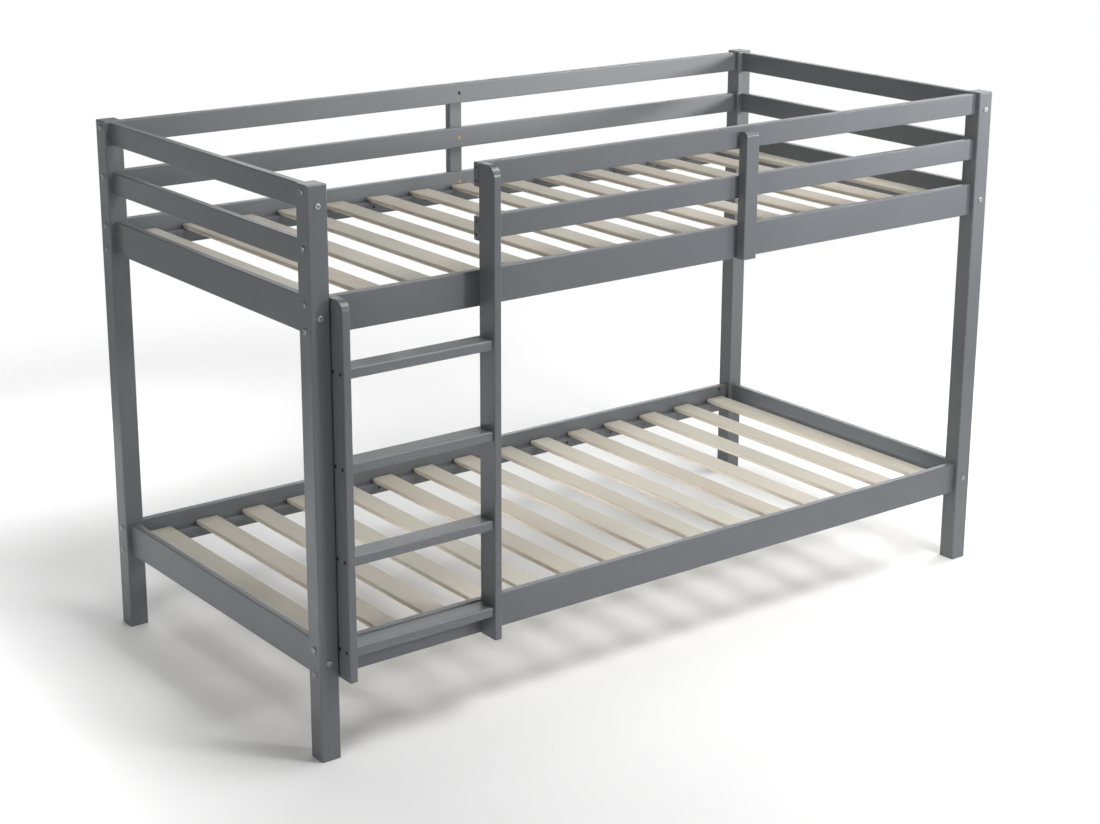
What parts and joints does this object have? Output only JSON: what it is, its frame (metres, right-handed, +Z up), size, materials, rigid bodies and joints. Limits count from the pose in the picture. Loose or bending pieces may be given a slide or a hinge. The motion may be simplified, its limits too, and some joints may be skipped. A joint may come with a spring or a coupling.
{
  "type": "bunk bed",
  "caption": "Twin over twin bunk bed with square posts, board rails and guard rails, an upright ladder at the front left, and bare slatted bases resting on ledgers.",
  "frame": {"origin": "on the floor, under the middle of the outline's box", "axes": "+Z up, +X along the bed from the ladder end to the other end, +Y from the ladder side to the back"},
  "size_m": [2.082, 1.028, 1.299],
  "materials": {
    "grey_paint": "satin blue-grey paint on softwood",
    "bare_pine": "planed, bare or clear sealed",
    "zinc_steel": "zinc plated",
    "beech": "bare",
    "yellow_zinc": "yellow zinc plated",
    "dark_screw": "black phosphate"
  },
  "bodies": {
    "root": {"post_front_left": "grey_paint", "post_front_right": "grey_paint", "post_back_left": "grey_paint", "post_back_right": "grey_paint", "lower_rail_front": "grey_paint", "lower_rail_back": "grey_paint", "lower_end_rail_left": "grey_paint", "lower_end_rail_right": "grey_paint", "upper_rail_front": "grey_paint", "upper_rail_back": "grey_paint", "upper_end_rail_left": "grey_paint", "upper_end_rail_right": "grey_paint", "end_guard_low_left": "grey_paint", "end_guard_low_right": "grey_paint", "end_guard_top_left": "grey_paint", "end_guard_top_right": "grey_paint", "guard_back_low": "grey_paint", "guard_back_top": "grey_paint", "guard_front_low": "grey_paint", "guard_front_top": "grey_paint", "guard_upright_front": "grey_paint", "guard_upright_back": "grey_paint", "ladder_stile_left": "grey_paint", "ladder_stile_right": "grey_paint", "ladder_rung_1": "grey_paint", "ladder_rung_2": "grey_paint", "ladder_rung_3": "grey_paint", "ladder_rung_4": "grey_paint", "ledger_lower_front": "grey_paint", "ledger_lower_back": "grey_paint", "ledger_upper_front": "grey_paint", "ledger_upper_back": "grey_paint", "slats_lower": "bare_pine", "slats_upper": "bare_pine", "bolts_side_rails": "zinc_steel", "bolts_guards": "zinc_steel", "bolts_end_rails": "zinc_steel", "bolts_spare": "zinc_steel", "barrel_nuts_side_rails": "zinc_steel", "barrel_nuts_guards": "zinc_steel", "barrel_nuts_end_rails": "zinc_steel", "dowels": "beech", "screws_rungs": "dark_screw", "screws_ladder": "dark_screw", "screws_upright_front": "yellow_zinc", "screws_upright_back": "yellow_zinc", "screws_ledgers": "dark_screw"}
  },
  "joints": []
}
